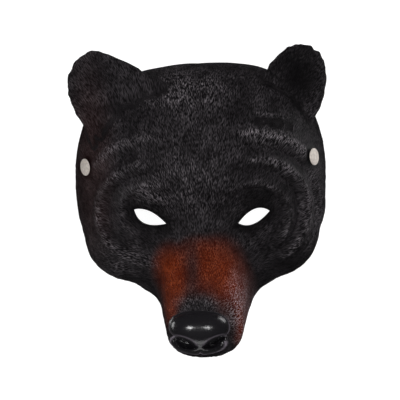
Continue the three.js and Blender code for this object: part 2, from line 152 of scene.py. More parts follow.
# Ears: the middle of the base on the head, the way the ear points, its half width, its rise past the
# base, how full its inner and outer edges are, the height of its edge above the rim, how far the edge
# drops at the two ends of the base, how far the tip leans forward and sideways, how deep it is cupped,
# and how softly its front runs into the head.
EARS = [
    {
        "x": -47.2, "y": 64, "points": 122.8, "half_width": 33.2, "rise": 52.3,
        "inner_power": 1.15, "outer_power": 3.1, "edge": 27, "drop": 8,
        "lean": 1, "tip": 3.7, "cup": 7, "blend": 20,
    },
    {
        "x": 57.3, "y": 65, "points": 60, "half_width": 23.7, "rise": 47.8,
        "inner_power": 2.5, "outer_power": 2.05, "edge": 28, "drop": 8,
        "lean": 2, "tip": -3.2, "cup": 10, "blend": 7,
    },
]
EAR_TURNOVER = {"reach": 12, "steps": 9}
EAR_TUFTS = {"around": 9, "share": 0.03, "power": 4}
EAR_ROOT = 16
EAR_THICKNESS = 3.4
EAR_ROUND = 0.08
EAR_SINK = 0.6
EAR_SPOKES = 120
EAR_RINGS = 30
EAR_CROWDING = 0.8

# The crease where the ears stand on the head is smoothed in rounds: fully near it, less farther off.
CREASE = {"inner": 3, "outer": 9, "rounds": 40}

# Rivets. A cap's groove, and where its dome starts, are given in multiples of its rolled edge.
RIVET_BORE = 2.1
BORE_REACH = 9
RIVET_SEAT = {"inner": 6.4, "outer": 11, "gap": 0.75}
RIVET_CAP = {"radius": 5.8, "edge": 0.9, "crown": 1.3}
CAP_GROOVE = {"inset": [1.3, 1.8], "height": [0.8, 0.95]}
CAP_DOME = {"inset": 2.4, "least": 0.6, "rings": 6}
CAP_ROLL_STEPS = 7
RIVET_SIDES = 48

# Lines on the surface run from the nose back to the rim, each in a plane through the muzzle's axis.
HEART = np.array([-1, -32, 30])
NOSE_TIP = np.array([-3.5, -64, 127])
SPOKES = 560
NOSE_RINGS = 48
NOSE_REACH = 27
FACE_RINGS = 92
INNER_SHARE = 4
INNER_SPOKES = SPOKES // INNER_SHARE
INNER_RINGS = 40
UPWARD_CROWDING = 0.4
FARTHEST = 200
NOSE_STRIDE = 0.45
FACE_STRIDE = 1.2
NOSE_STRIDES = 70
FACE_STRIDES = 200
PROBE = 0.1
HALVINGS = 40
CORRECTIONS = 2

# Fur, moulded in strands that follow the lines from the nose and are shortest beside it.
STRAND_WIDTH = 0.3
STRAND_LENGTH = {"place": [0, 40, 85, 300], "length": [1.3, 1.5, 2.3, 2.3]}
TUFT_WIDTH = 3.2
TUFT_LENGTH = 9
TUFT_HEIGHT = 0.5
LEAST_LEVEL = 4
FUR_STEPS = 600
EAR_FUR_START = 80
FUR_DEPTH = 1.3
PORE_SHARE = 0.08

# Patchy paint, the foam's grain and scuffs on the metal. Each ramp is the noise where a tone sets in
# and where it is full.
PATCHES = {"size": 12, "detail": 2}
GRAIN = {"size": 1.1, "detail": 3}
SCUFFS = {"size": 1.6, "detail": 4}
PATCH_RAMP = (0.3, 0.7)
TIP_RAMP = (0.4, 0.68)
# The pale specks' ramp: worn paint and painted glints on the strands' highest tips.
WEAR_AND_GLINT_RAMP = (0.54, 0.66)
SCUFF_RAMP = (0.35, 0.65)
PATCH_SHARE = {"span": 0.7, "least": 0.46}

# Colours from dark to pale, in linear light.
# The pale end of each fur colour is the strands' tips: paint, made lighter also as painted glints.
BLACK_FUR = (0.0048, 0.0043, 0.0048), (0.057, 0.051, 0.056)
BROWN_FUR = (0.09, 0.0085, 0.002), (0.345, 0.065, 0.019)
NOSE_PAINT = (0.006, 0.0055, 0.007), (0.013, 0.012, 0.014)
BARE_FOAM = (0.045, 0.042, 0.045), (0.13, 0.125, 0.13)
NICKEL = (0.6, 0.54, 0.49), (0.72, 0.66, 0.6)
# Pale specks on black and on brown fur: worn paint, and painted glints.
WEAR_AND_GLINT_ON_BLACK = (0.37, 0.335, 0.36)
WEAR_AND_GLINT_ON_BROWN = (0.75, 0.67, 0.73)
# The nose's pale line is a painted highlight.
PAINTED_NOSE_HIGHLIGHT = (0.24, 0.21, 0.25)
FLOOR_GREY = (0.25, 0.25, 0.25)
WHITE = (1, 1, 1)

# How the surfaces take the light.
FOAM_ROUGHNESS = {"fur": 0.42, "nose": 0.3}
FOAM_SPECULAR = 0.06
NOSE_COAT = {"roughness": 0.21, "ior": 1.7}
NICKEL_SHEEN = {"metallic": 0.3, "dull": 0.6, "polish": -0.08}
SCUFF_BUMP = {"strength": 0.3, "depth": 0.1}
FLOOR_ROUGHNESS = 0.9
FLOOR_GLOW = 0.98
SMOOTH_BELOW = {"foam": 48, "cap": 60, "post": 40}

# The two inputs and the output of a mix node that hold each kind of value.
MIX_SOCKETS = {"FLOAT": (2, 3, 0), "RGBA": (6, 7, 2)}

# The camera, and the way that the paint was sprayed, from the front.
CAMERA_TARGET = np.array([-0.7, 0, 0])
CAMERA_DISTANCE = 1400
CAMERA_PITCH = 10
CAMERA_ROLL = 1.2
CAMERA_LENS = 180
SENSOR = 36

# The studio, in metres and watts. A light that isn't mirrored doesn't show in glossy surfaces, and one
# that doesn't spread shows in them alone. The glows lie on the floor and face up.
FLOOR_HALF = 6
LIGHT_AIM = (0, 0, 0.05)
LIGHTS = [
    {"name": "front_left", "place": (-0.43, 0.22, 1.13), "size": 0.28, "power": 4.2},
    {"name": "front_right", "place": (0.3, 0.18, 1.13), "size": 0.28, "power": 2.7},
    {"name": "front_low", "place": (-0.35, -0.9, 0.8), "size": 1.4, "power": 5, "mirrored": False},
    {"name": "below", "place": (0, -1.1, 0.35), "size": 0.7, "power": 1.5, "spread": False},
    {"name": "top", "place": (0.3, 1, 0.75), "size": 0.4, "power": 8.4, "mirrored": False},
    {"name": "side_left", "place": (-0.65, -0.02, 0.05), "size": 0.35, "power": 1.1, "mirrored": False},
    {"name": "side_right", "place": (0.65, -0.02, 0.05), "size": 0.35, "power": 0.7, "mirrored": False},
]
GLOWS = [
    {"name": "glow_left", "x": -0.175, "y": -0.06, "size": 0.1},
    {"name": "glow_right", "x": 0.17, "y": 0.04, "size": 0.13},
]
GLOW_HEIGHT = 0.002
GLOW_RADIANCE = 2.4
WORLD_STRENGTH = 0.03

# Spots seen from the front: across and up to the middle, half width, half height and strength.
# The brown and black spots are sprayed paint, the grey ones painted highlights, the dark ones painted
# shade.
BROWN_SPOTS = [
    (-22, -47, 10, 14, 1),
    (-20, -60, 8, 14, 1),
    (-22, -75, 4.5, 12, 0.9),
    (-4, -48, 12, 17, 0.7),
    (1, -35, 16, 8, 0.35),
    (12, -47, 15, 17, 0.8),
    (20, -61, 13, 17, 0.9),
    (26, -79, 7, 18, 0.8),
    (27, -95, 5, 11, 0.6),
    (-76, 25, 14, 60, 0.07),
]
BLACK_SPOTS = [
    (-6, -48, 5.5, 20, 0.7),
    (-1, -77, 19, 10, 1),
    (20.5, -89, 4, 15, 0.85),
]
# Painted highlights and sheen: pale specks on the forehead, the right brow, the right side and flank of
# the muzzle, and over the shaded brow above the left eye and on the left cheek.
HIGHLIGHT_SPOTS = [
    (-8, 18, 30, 36, 0.25),
    (50, 42, 20, 8, 0.5),
    (-12, 78, 30, 14, 0.45),
    (26, -74, 9, 22, 1),
    (31, -84, 7, 24, 0.8),
    (-36, 5, 13, 7, 0.8),
    (-56, -42, 18, 10, 0.4),
    (79, -7, 8, 28, 0.6),
    (-1, -71, 16, 5, 0.25),
]
# Painted shade: in the right ear's cupped hollow, between the folds over the right eye, inside the
# right brow and on the right cheek.
PAINTED_SHADE_SPOTS = [
    (70, 86, 15, 18, 0.9),
    (46, 38, 22, 4.5, 0.4),
    (33, 23, 18, 6, 0.25),
    (56, -38, 18, 10, 0.5),
]
SPOT_EDGE = {"inner": 0.1, "outer": 1.6}


def curve_through(table, at, value):
    """A smooth curve through the rows of a table, from one named column to another."""
    places = np.array(table[at], float)
    values = np.array(table[value], float)
    before = np.maximum(np.arange(len(places)) - 1, 0)
    after = np.minimum(np.arange(len(places)) + 1, len(places) - 1)
    tangents = (values[after] - values[before]) / (places[after] - places[before])

    def curve(position):
        held = np.clip(position, places[0], places[-1])
        i = np.clip(np.searchsorted(places, held) - 1, 0, len(places) - 2)
        span = places[i + 1] - places[i]
        t = (held - places[i]) / span
        rest = 1 - t
        return (
            values[i] * rest * rest * (1 + 2 * t)
            + values[i + 1] * t * t * (3 - 2 * t)
            + span * t * rest * (tangents[i] * rest - tangents[i + 1] * t)
        )

    return curve


rim_reach = curve_through(RIM_OUTLINE, "turn", "reach")
rim_right_more = curve_through(RIM_RIGHT_MORE, "turn", "reach")
muzzle_middle = curve_through(MUZZLE_SECTIONS, "height", "middle")
muzzle_half_width = curve_through(MUZZLE_SECTIONS, "height", "half_width")
muzzle_top = curve_through(MUZZLE_SECTIONS, "height", "top")
muzzle_bottom = curve_through(MUZZLE_SECTIONS, "height", "bottom")
lip_at = curve_through(LIP_LINE, "height", "lip")


def unit(vectors):
    return vectors / np.linalg.norm(vectors, axis=-1, keepdims=True)


AXIS = unit(NOSE_TIP - HEART)
UPWARD = unit(np.array([0, 1, 0]) - AXIS[1] * AXIS)
ACROSS = np.cross(UPWARD, AXIS)


def smoothstep(value, low, high):
    t = np.clip((value - low) / (high - low), 0, 1)
    return t * t * (3 - 2 * t)


def bell(value):
    return np.exp(-value * value)


def last_inside(inside, count, farthest):
    """The ends of the short stretch, found by halving, where each of several rays leaves a form."""
    low, high = np.zeros(count), np.full(count, float(farthest))
    for _ in range(HALVINGS):
        middle = (low + high) / 2
        within = inside(middle)
        low = np.where(within, middle, low)
        high = np.where(within, high, middle)
    return low, high


# Fields are below zero inside a form and grow outwards.
def soft_union(a, b, blend):
    near = np.maximum(blend - np.abs(a - b), 0) / blend
    return np.minimum(a, b) - near * near * blend / 4


def soft_cut(a, b, blend):
    return -soft_union(-a, b, blend)


def ellipsoid(x, y, z, form):
    reach = np.sqrt(
        ((x - form["x"]) / form["rx"]) ** 2
        + ((y - form["y"]) / form["ry"]) ** 2
        + ((z - form["z"]) / form["rz"]) ** 2
    )
    return (reach - 1) * min(form["rx"], form["ry"], form["rz"])


def dome(x, y, z):
    rise = y - FACE_CENTRE_Y
    turn = np.degrees(np.arctan2(rise, np.abs(x)))
    out = np.hypot(x, rise) / (rim_reach(turn) + np.where(x > 0, rim_right_more(turn), 0))
    up = np.maximum(z, 0) / FACE_DEPTH
    return (np.sqrt(out**DOME_POWER + up * up) - 1) * FACE_DEPTH


def muzzle(x, y, z):
    top, bottom, half_width = muzzle_top(z), muzzle_bottom(z), muzzle_half_width(z)
    across = np.abs((x - muzzle_middle(z)) / half_width)
    rise = np.abs((2 * y - top - bottom) / (top - bottom))
    section = (across**MUZZLE_POWER + rise**MUZZLE_POWER) ** (1 / MUZZLE_POWER)
    front = np.maximum(z - MUZZLE_FRONT, 0) / MUZZLE_ROUND
    return (np.hypot(section, front) - 1) * half_width


def plain_form(x, y, z):
    """The face without its nose, which is also what the inside follows."""
    field = dome(x, y, z)
    for form in SWELLINGS:
        field = soft_union(field, ellipsoid(np.abs(x), y, z, form), form["blend"])
    field = soft_union(field, muzzle(x, y, z), MUZZLE_BLEND)
    return soft_cut(field, ellipsoid(np.abs(x), y, z, EYE_HOLLOW), EYE_HOLLOW["blend"])


def bonnet(x, y, z):
    across = x - NOSE_X
    wing = BONNET_WING["lift"] * (1 - bell(across / BONNET_WING["reach"]))
    rise = y - BONNET["y"]
    height = np.where(rise > 0, BONNET["above"], BONNET["below"] - wing)
    outline, front = BONNET_POWER["outline"], BONNET_POWER["front"]
    reach = np.abs(across / BONNET["rx"]) ** outline + np.abs(rise / height) ** outline
    reach = reach ** (front / outline) + np.abs((z - BONNET["z"]) / BONNET["rz"]) ** front
    return (reach ** (1 / front) - 1) * BONNET["above"]


def nostril(x, y, z):
    tilt = math.radians(NOSTRIL["tilt"])
    out = np.abs(x - NOSE_X) - NOSTRIL["x"]
    up = y - NOSTRIL["y"]
    along = out * math.cos(tilt) + up * math.sin(tilt)
    over = up * math.cos(tilt) - out * math.sin(tilt)
    return ellipsoid(along, over, z, {**NOSTRIL, "x": 0, "y": 0})


def full_form(x, y, z):
    field = soft_union(plain_form(x, y, z), ellipsoid(x, y, z, NOSE_BLOCK), NOSE_BLOCK["blend"])
    field = soft_cut(field, nostril(x, y, z), NOSTRIL["blend"])
    field = soft_cut(field, ellipsoid(x, y, z, NOSE_CLEFT), NOSE_CLEFT["blend"])
    return soft_union(field, bonnet(x, y, z), BONNET["blend"])


def nose_shares(x, y, z):
    """Shares of each point: of the nose, its gloss, its raised edge and the pale line low on it, a
    painted highlight.
    """
    over, block = bonnet(x, y, z), ellipsoid(x, y, z, NOSE_BLOCK)
    past_fur = plain_form(x, y, z) - np.minimum(over, block)
    pit = nostril(x, y, z)
    past_pit = smoothstep(pit, NOSTRIL_LIP["inner"], NOSTRIL_LIP["outer"])
    nose = np.maximum(smoothstep(past_fur, -NOSE_SEAM, NOSE_SEAM), 1 - past_pit)
    on_bonnet = smoothstep(block - over, -NOSE_SEAM, NOSE_SEAM)
    gloss = nose * (NOSE_GLOSS["block"] + (NOSE_GLOSS["bonnet"] - NOSE_GLOSS["block"]) * on_bonnet)
    edge = bell((past_fur - NOSE_EDGE["inward"]) / NOSE_EDGE["spread"])
    around = past_pit * bell((past_fur - NOSE_EDGE["inward"]) / NOSE_HIGHLIGHT_SHAPE["spread"])
    under = NOSE_HIGHLIGHT_SHAPE["under"] * on_bonnet * bell(pit / NOSE_HIGHLIGHT_SHAPE["spread"])
    line = np.maximum(around, under) * (1 - smoothstep(y, NOSE_HIGHLIGHT_SHAPE["low"], NOSE_HIGHLIGHT_SHAPE["high"]))
    return nose, gloss, edge, line


def slope_of(field, points):
    steps = np.eye(3) * PROBE
    return np.stack(
        [(field(*(points + s).T) - field(*(points - s).T)) / (2 * PROBE) for s in steps], axis=-1
    )


def surface_lines(field, turns):
    """Lines on a surface, one for each turn about the muzzle's axis: strides, lines, coordinates."""
    sides = np.outer(np.cos(turns), ACROSS) + np.outer(np.sin(turns), UPWARD)

    def at(along, out):
        return HEART + along[:, None] * AXIS + out[:, None] * sides

    def value(along, out):
        return field(*at(along, out).T)

    def slope(along, out):
        return (
            (value(along + PROBE, out) - value(along - PROBE, out)) / (2 * PROBE),
            (value(along, out + PROBE) - value(along, out - PROBE)) / (2 * PROBE),
        )

    out = np.zeros(len(turns))
    low, high = last_inside(lambda along: value(along, out) < 0, len(turns), FARTHEST)
    along = (low + high) / 2
    lines = [at(along, out)]
    for stride in [NOSE_STRIDE] * NOSE_STRIDES + [FACE_STRIDE] * FACE_STRIDES:
        back, sideways = slope(along, out)
        size = np.hypot(back, sideways)
        along = along - sideways / size * stride
        out = out + back / size * stride
        for _ in range(CORRECTIONS):
            back, sideways = slope(along, out)
            step = value(along, out) / (back**2 + sideways**2)
            along = along - back * step
            out = out - sideways * step
        lines.append(at(along, out))
    return np.array(lines)


def spaced_along(line, reaches, rest):
    """Points on one line: some at fixed reaches from the nose, and the rest evenly down to the rim."""
    below = np.argmax(line[:, 2] <= 0)
    line = line[: below + 1].copy()
    share = line[-2, 2] / (line[-2, 2] - line[-1, 2])
    line[-1] = line[-2] + share * (line[-1] - line[-2])
    lengths = np.concatenate([[0], np.cumsum(np.linalg.norm(np.diff(line, axis=0), axis=1))])
    last = reaches[-1]
    places = np.concatenate([reaches, np.linspace(last, lengths[-1], rest + 1)[1:]])
    points = np.stack([np.interp(places, lengths, line[:, k]) for k in range(3)], axis=-1)
    points[-1, 2] = 0
    return points, places


def turns_about(spokes):
    """The lines' turns. They crowd together up the face, where the lines are longest."""
    share = 2 * np.pi * np.arange(spokes) / spokes
    return share + UPWARD_CROWDING * np.cos(share)


def surface_grid(field, spokes, reaches, rest):
    lines = surface_lines(field, turns_about(spokes))
    spaced = [spaced_along(lines[:, i], reaches, rest) for i in range(spokes)]
    return np.array([points for points, _ in spaced]), np.array([places for _, places in spaced])


def inner_grid(depth):
    """A layer inside the face at a given depth, which is deeper behind the nose."""
    grid, _ = surface_grid(plain_form, INNER_SPOKES, np.array([0.0]), INNER_RINGS)
    flat = grid.reshape(-1, 3)
    off = np.linalg.norm(flat - NOSE_TIP, axis=1) / NOSE_FILL_REACH
    wall = depth + NOSE_FILL * bell(off)
    sunk = flat - wall[:, None] * unit(slope_of(plain_form, flat))
    sunk = sunk.reshape(grid.shape)
    sunk[:, -1, 2] = 0
    return sunk


def almond(eye):
    """The outline of an eye opening: its upper edge from the outer corner, then its lower edge back."""
    outer, inner = np.array(eye["outer"], float), np.array(eye["inner"], float)
    outward = unit(outer - inner)
    up = np.array([-outward[1], outward[0]]) * np.sign(outward[0])
    t = np.arange(EYE_SEGMENTS)[:, None] / EYE_SEGMENTS
    edges = []
    for start, end, way, edge in [(outer, inner, up, "above"), (inner, outer, -up, "below")]:
        control = (start + end) / 2 + way * 2 * eye[edge] + outward * 2 * eye[f"{edge}_shift"]
        edges.append(start * (1 - t) ** 2 + control * 2 * t * (1 - t) + end * t**2)
    return np.concatenate(edges)


def distance_to_outline(points, outline):
    nearest = np.full(len(points), np.inf)
    for a, b in zip(outline, np.roll(outline, -1, axis=0)):
        share = np.clip((points - a) @ (b - a) / ((b - a) @ (b - a)), 0, 1)
        nearest = np.minimum(nearest, np.linalg.norm(points - a - share[:, None] * (b - a), axis=1))
    return nearest


def fold_relief(points):
    """How far the folds round the eyes rise, and how far their crests are worn and painted as
    highlights.
    """
    raised, worn = np.zeros((2, len(points)))
    for name, eye in EYES.items():
        side = -1 if name == "left" else 1
        middle = (np.array(eye["outer"]) + np.array(eye["inner"])) / 2
        for out, up, radius, height, spread, start, end, wear_and_shine in EYE_FOLDS[name]:
            dx = side * (points[:, 0] - middle[0]) - out
            dy = points[:, 1] - middle[1] - up
            off = (np.hypot(dx, dy) - radius) / spread
            turn = np.degrees(np.arctan2(dy, dx))
            shown = smoothstep(turn, start - FOLD_FADE, start + FOLD_FADE)
            shown = shown * (1 - smoothstep(turn, end - FOLD_FADE, end + FOLD_FADE))
            shown = shown * (side * points[:, 0] > 0)
            crest = shown * bell(off)
            crease = shown * bell((off - FOLD_CREASE["offset"]) / FOLD_CREASE["spread"])
            raised += height * (crest - FOLD_CREASE["share"] * crease)
            # The crest is worn grey and painted lighter as a highlight.
            crest_lit_and_worn = smoothstep(crest, CREST_WEAR_AND_HIGHLIGHT["low"], CREST_WEAR_AND_HIGHLIGHT["high"])
            worn = np.maximum(worn, wear_and_shine * crest_lit_and_worn)
    return raised, worn


def lid_relief(points):
    """How far the eyelids rise, with a crease round each, and the shade painted on the fur near the
    eyes.
    """
    raised, shade = np.zeros((2, len(points)))
    for eye in EYES.values():
        apart = distance_to_outline(points[:, :2], almond(eye))
        lid = (apart - LID["offset"]) / LID["spread"]
        crease = (apart - LID_CREASE["offset"]) / LID_CREASE["spread"]
        raised += LID["height"] * bell(lid) - LID_CREASE["depth"] * bell(crease)
        shade = np.maximum(shade, LID_SHADE["amount"] * (1 - smoothstep(apart, 0, LID_SHADE["reach"])))
    return raised, shade


def about_axis(points):
    """Each point's turn about the muzzle's axis and its distance from that axis."""
    from_heart = points - HEART
    across, up = from_heart @ ACROSS, from_heart @ UPWARD
    return np.arctan2(up, across), np.hypot(across, up)


def strands_along(places):
    """How many strands lie end to end between the nose and each place on a line."""
    fine = np.linspace(STRAND_LENGTH["place"][0], STRAND_LENGTH["place"][-1], FUR_STEPS)
    density = 1 / np.interp(fine, STRAND_LENGTH["place"], STRAND_LENGTH["length"])
    passed = np.cumsum((density[1:] + density[:-1]) / 2 * np.diff(fine))
    return np.interp(places, fine, np.concatenate([[0], passed]))


def fur_columns(turns, places, around):
    """What the fur reads: a turn, a place on the line from the nose, and how fine the strands are."""
    strand = np.stack([np.cos(turns), np.sin(turns), strands_along(places)], axis=-1)
    return strand, np.log2(np.maximum(around / STRAND_WIDTH, 2**LEAST_LEVEL))


def tufts(turns, places, levels):
    """Noise drawn out along the lines, from -1 to 1, as wide as a tuft everywhere."""
    level = np.maximum(levels - math.log2(TUFT_WIDTH / STRAND_WIDTH), LEAST_LEVEL)
    whole = np.floor(level)
    made = []
    for finer in (0, 1):
        radius = 2 ** (whole + finer) / (2 * np.pi)
        spots = zip(np.cos(turns) * radius, np.sin(turns) * radius, places / TUFT_LENGTH)
        made.append(np.array([noise.noise(Vector(spot)) for spot in spots]))
    mix = level - whole
    return made[0] * (1 - mix) + made[1] * mix


def seen_from_front(points):
    """Where points lie across and up when seen from where the camera and the spray gun stand."""
    pitch = math.radians(CAMERA_PITCH)
    from_target = points - CAMERA_TARGET
    towards = from_target[:, 1] * math.sin(pitch) + from_target[:, 2] * math.cos(pitch)
    up = from_target[:, 1] * math.cos(pitch) - from_target[:, 2] * math.sin(pitch)
    nearer = CAMERA_DISTANCE / (CAMERA_DISTANCE - towards)
    return np.stack([from_target[:, 0] * nearer, up * nearer], axis=-1)


def spot_cover(points, spots):
    seen = seen_from_front(points)
    clear = np.ones(len(points))
    for across, up, half_width, half_height, amount in spots:
        off = np.hypot((seen[:, 0] - across) / half_width, (seen[:, 1] - up) / half_height)
        clear *= 1 - amount * (1 - smoothstep(off, SPOT_EDGE["inner"], SPOT_EDGE["outer"]))
    return 1 - clear


def grid_faces(spokes, rings, first):
    """Faces of a grid of lines that share a pole; the pole is the first vertex."""
    def index(s, r):
        return first + 1 + (s % spokes) * rings + (r - 1)

    faces = [(first, index(s, 1), index(s + 1, 1)) for s in range(spokes)]
    for s in range(spokes):
        for r in range(1, rings):
            faces.append((index(s, r), index(s, r + 1), index(s + 1, r + 1), index(s + 1, r)))
    return faces


def grid_vertices(grid):
    return np.concatenate([grid[0, :1], grid[:, 1:].reshape(-1, grid.shape[2])])


def edge_index(spokes, rings, first, line):
    return first + ((line % spokes) + 1) * rings


def turned_over(faces):
    return [tuple(reversed(face)) for face in faces]


def mesh_object(name, vertices, faces, attributes=None):
    """A mesh in the row frame, with one float or vector attribute for each named column."""
    mesh = bpy.data.meshes.new(name)
    mesh.from_pydata(((vertices - MIDDLE) / METRE).tolist(), [], faces)
    for label, values in (attributes or {}).items():
        kind, key = ("FLOAT_VECTOR", "vector") if values.ndim == 2 else ("FLOAT", "value")
        column = mesh.attributes.new(label, kind, "POINT")
        column.data.foreach_set(key, values.astype(np.float32).ravel())
    made = bpy.data.objects.new(name, mesh)
    bpy.context.scene.collection.objects.link(made)
    return made


def joined(shapes):
    """The vertices and faces of several shapes as one list each."""
    vertices, faces, first = [], [], 0
    for points, shape_faces in shapes:
        vertices.append(points)
        faces += [tuple(first + i for i in face) for face in shape_faces]
        first += len(points)
    return np.concatenate(vertices), faces


def combined(target, operation, tool):
    """The target after one boolean step with the tool, which is then removed."""
    step = target.modifiers.new(operation.lower(), "BOOLEAN")
    step.operation = operation
    step.solver = "MANIFOLD"
    step.object = tool
    evaluated = target.evaluated_get(bpy.context.evaluated_depsgraph_get())
    mesh = bpy.data.meshes.new_from_object(evaluated)
    target.modifiers.clear()
    target.data = mesh
    bpy.data.objects.remove(tool)
    return target


def prism(outline, low, high):
    """Vertices and faces of a prism along Z over a counterclockwise outline."""
    count = len(outline)
    vertices = np.concatenate([np.column_stack([outline, np.full(count, z)]) for z in (low, high)])
    faces = [tuple(range(count - 1, -1, -1)), tuple(range(count, 2 * count))]
    faces += [(i, (i + 1) % count, count + (i + 1) % count, count + i) for i in range(count)]
    return vertices, faces


def rivet_seat(node):
    """The middle of a rivet cap's flat side and the way that the cap faces, from its CAD node."""
    points = np.array([v.co for v in node.data.vertices]) * METRE + MIDDLE
    middle = points.mean(axis=0)
    out = np.linalg.svd(points - middle)[2][2]
    out = out * np.sign(out[2])
    return middle + out * ((points - middle) @ out).min(), out


SEATS = {side: rivet_seat(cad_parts[f"rivet_cap_{side}"]) for side in ("left", "right")}


def seat_share(points):
    """One where a rivet cap lies on the wall, falling to zero beside it, and the wall's rise there."""
    share, rise = np.zeros((2, len(points)))
    for middle, _ in SEATS.values():
        apart = np.linalg.norm(points - middle, axis=1)
        near = 1 - smoothstep(apart, RIVET_SEAT["inner"], RIVET_SEAT["outer"])
        slope = np.linalg.norm(slope_of(plain_form, middle[None]))
        lift = plain_form(*middle[:, None])[0] / slope
        rise = np.where(near > share, lift - RIVET_SEAT["gap"], rise)
        share = np.maximum(near, share)
    return share, rise


def outer_skin():
    """The outside of the face: vertices, faces and the columns that its material reads."""
    reaches = np.linspace(0, NOSE_REACH, NOSE_RINGS + 1)
    grid, places = surface_grid(full_form, SPOKES, reaches, FACE_RINGS)
    turns = turns_about(SPOKES)
    spread = np.linalg.norm(np.roll(grid, -1, axis=0) - np.roll(grid, 1, axis=0), axis=2)
    between = (np.roll(turns, -1) - np.roll(turns, 1)) % (2 * np.pi)
    around = 2 * np.pi * spread / between[:, None]
    all_turns = np.repeat(turns[:, None], grid.shape[1], axis=1)
    measures = np.stack([places, around, all_turns], axis=2)
    columns = grid_vertices(np.concatenate([grid, measures], axis=2))
    points, (places, around, all_turns) = columns[:, :3], columns[:, 3:].T
    strand, levels = fur_columns(all_turns, places, around)

    nose, gloss, nose_edge, nose_highlight = nose_shares(*points.T)
    seat, seat_rise = seat_share(points)
    at_rim = 1 - smoothstep(points[:, 2], 0, RIM_FADE)
    folds, worn = fold_relief(points)
    lids, shade = lid_relief(points)
    relief = folds + lids
    relief += TUFT_HEIGHT * tufts(all_turns, places, levels) * (1 - nose)
    relief = (relief * (1 - seat) + seat_rise * seat) * (1 - at_rim) * (1 - nose)
    relief += NOSE_EDGE["height"] * nose_edge
    points = points + relief[:, None] * unit(slope_of(full_form, points))

    brown = spot_cover(points, BROWN_SPOTS) * (1 - spot_cover(points, BLACK_SPOTS)) * (1 - nose)
    attributes = {
        "strand": strand,
        "level": levels,
        "brown": brown,
        # Pale specks: painted highlights and sheen from the spots, and worn grey with painted
        # highlights on the fold crests.
        "grey_wear_and_highlight": np.maximum(spot_cover(points, HIGHLIGHT_SPOTS), worn),
        # Painted shade from the dark spots, and in a band round each eye.
        "painted_shade": 1 - (1 - spot_cover(points, PAINTED_SHADE_SPOTS)) * (1 - shade),
        "bare": np.maximum(nose, seat),
        "nose": nose,
        "gloss": gloss,
        "line": nose_highlight,
        "inside": np.zeros(len(points)),
        "ear": np.zeros(len(points)),
    }
    faces = grid_faces(SPOKES, NOSE_RINGS + FACE_RINGS, 0)
    return points, faces, attributes


def mask_wall():
    """The moulded wall: the outside, the inside with fewer lines, and the flat rim between them."""
    points, faces, attributes = outer_skin()
    inner = grid_vertices(inner_grid(WALL))
    first = len(points)
    faces += turned_over(grid_faces(INNER_SPOKES, INNER_RINGS, first))
    for s in range(INNER_SPOKES):
        here, beyond = (edge_index(INNER_SPOKES, INNER_RINGS, first, k) for k in (s, s + 1))
        spokes = range(s * INNER_SHARE, (s + 1) * INNER_SHARE + 1)
        outside = [edge_index(SPOKES, NOSE_RINGS + FACE_RINGS, 0, spoke) for spoke in spokes]
        faces.append((here, beyond, *reversed(outside)))
    for label, values in attributes.items():
        filler = np.zeros((len(inner),) + values.shape[1:])
        if label in ("bare", "inside"):
            filler = filler + 1
        attributes[label] = np.concatenate([values, filler])
    return mesh_object("mask", np.concatenate([points, inner]), faces, attributes)


def space_inside():
    """The space inside the middle of the wall, which ends the roots of the ears."""
    inner = grid_vertices(inner_grid(WALL / 2))
    vertices = np.concatenate([inner, [[0, 0, -FACE_DEPTH]]])
    faces = grid_faces(INNER_SPOKES, INNER_RINGS, 0)
    for s in range(INNER_SPOKES):
        here, beyond = (edge_index(INNER_SPOKES, INNER_RINGS, 0, k) for k in (s, s + 1))
        faces.append((here, len(vertices) - 1, beyond))
    return mesh_object("space_inside", vertices, faces)


def height_of_head(places):
    """How high the face stands over places in the rim's plane, and far below the rim past its edge."""
    x, y = places.T
    low, _ = last_inside(lambda z: plain_form(x, y, z) < 0, len(places), FACE_DEPTH)
    return np.where(plain_form(x, y, 0 * x) < 0, low, -FACE_DEPTH)


def leaf_outline(ear, turns):
    """How far an ear's edge lies across and up from the middle of its base, as shares of its sizes."""
    power = np.where(np.cos(turns) * ear["x"] < 0, ear["inner_power"], ear["outer_power"])
    sides = np.cos(turns), np.sin(turns)
    return [np.sign(side) * np.abs(side) ** (2 / power) for side in sides]


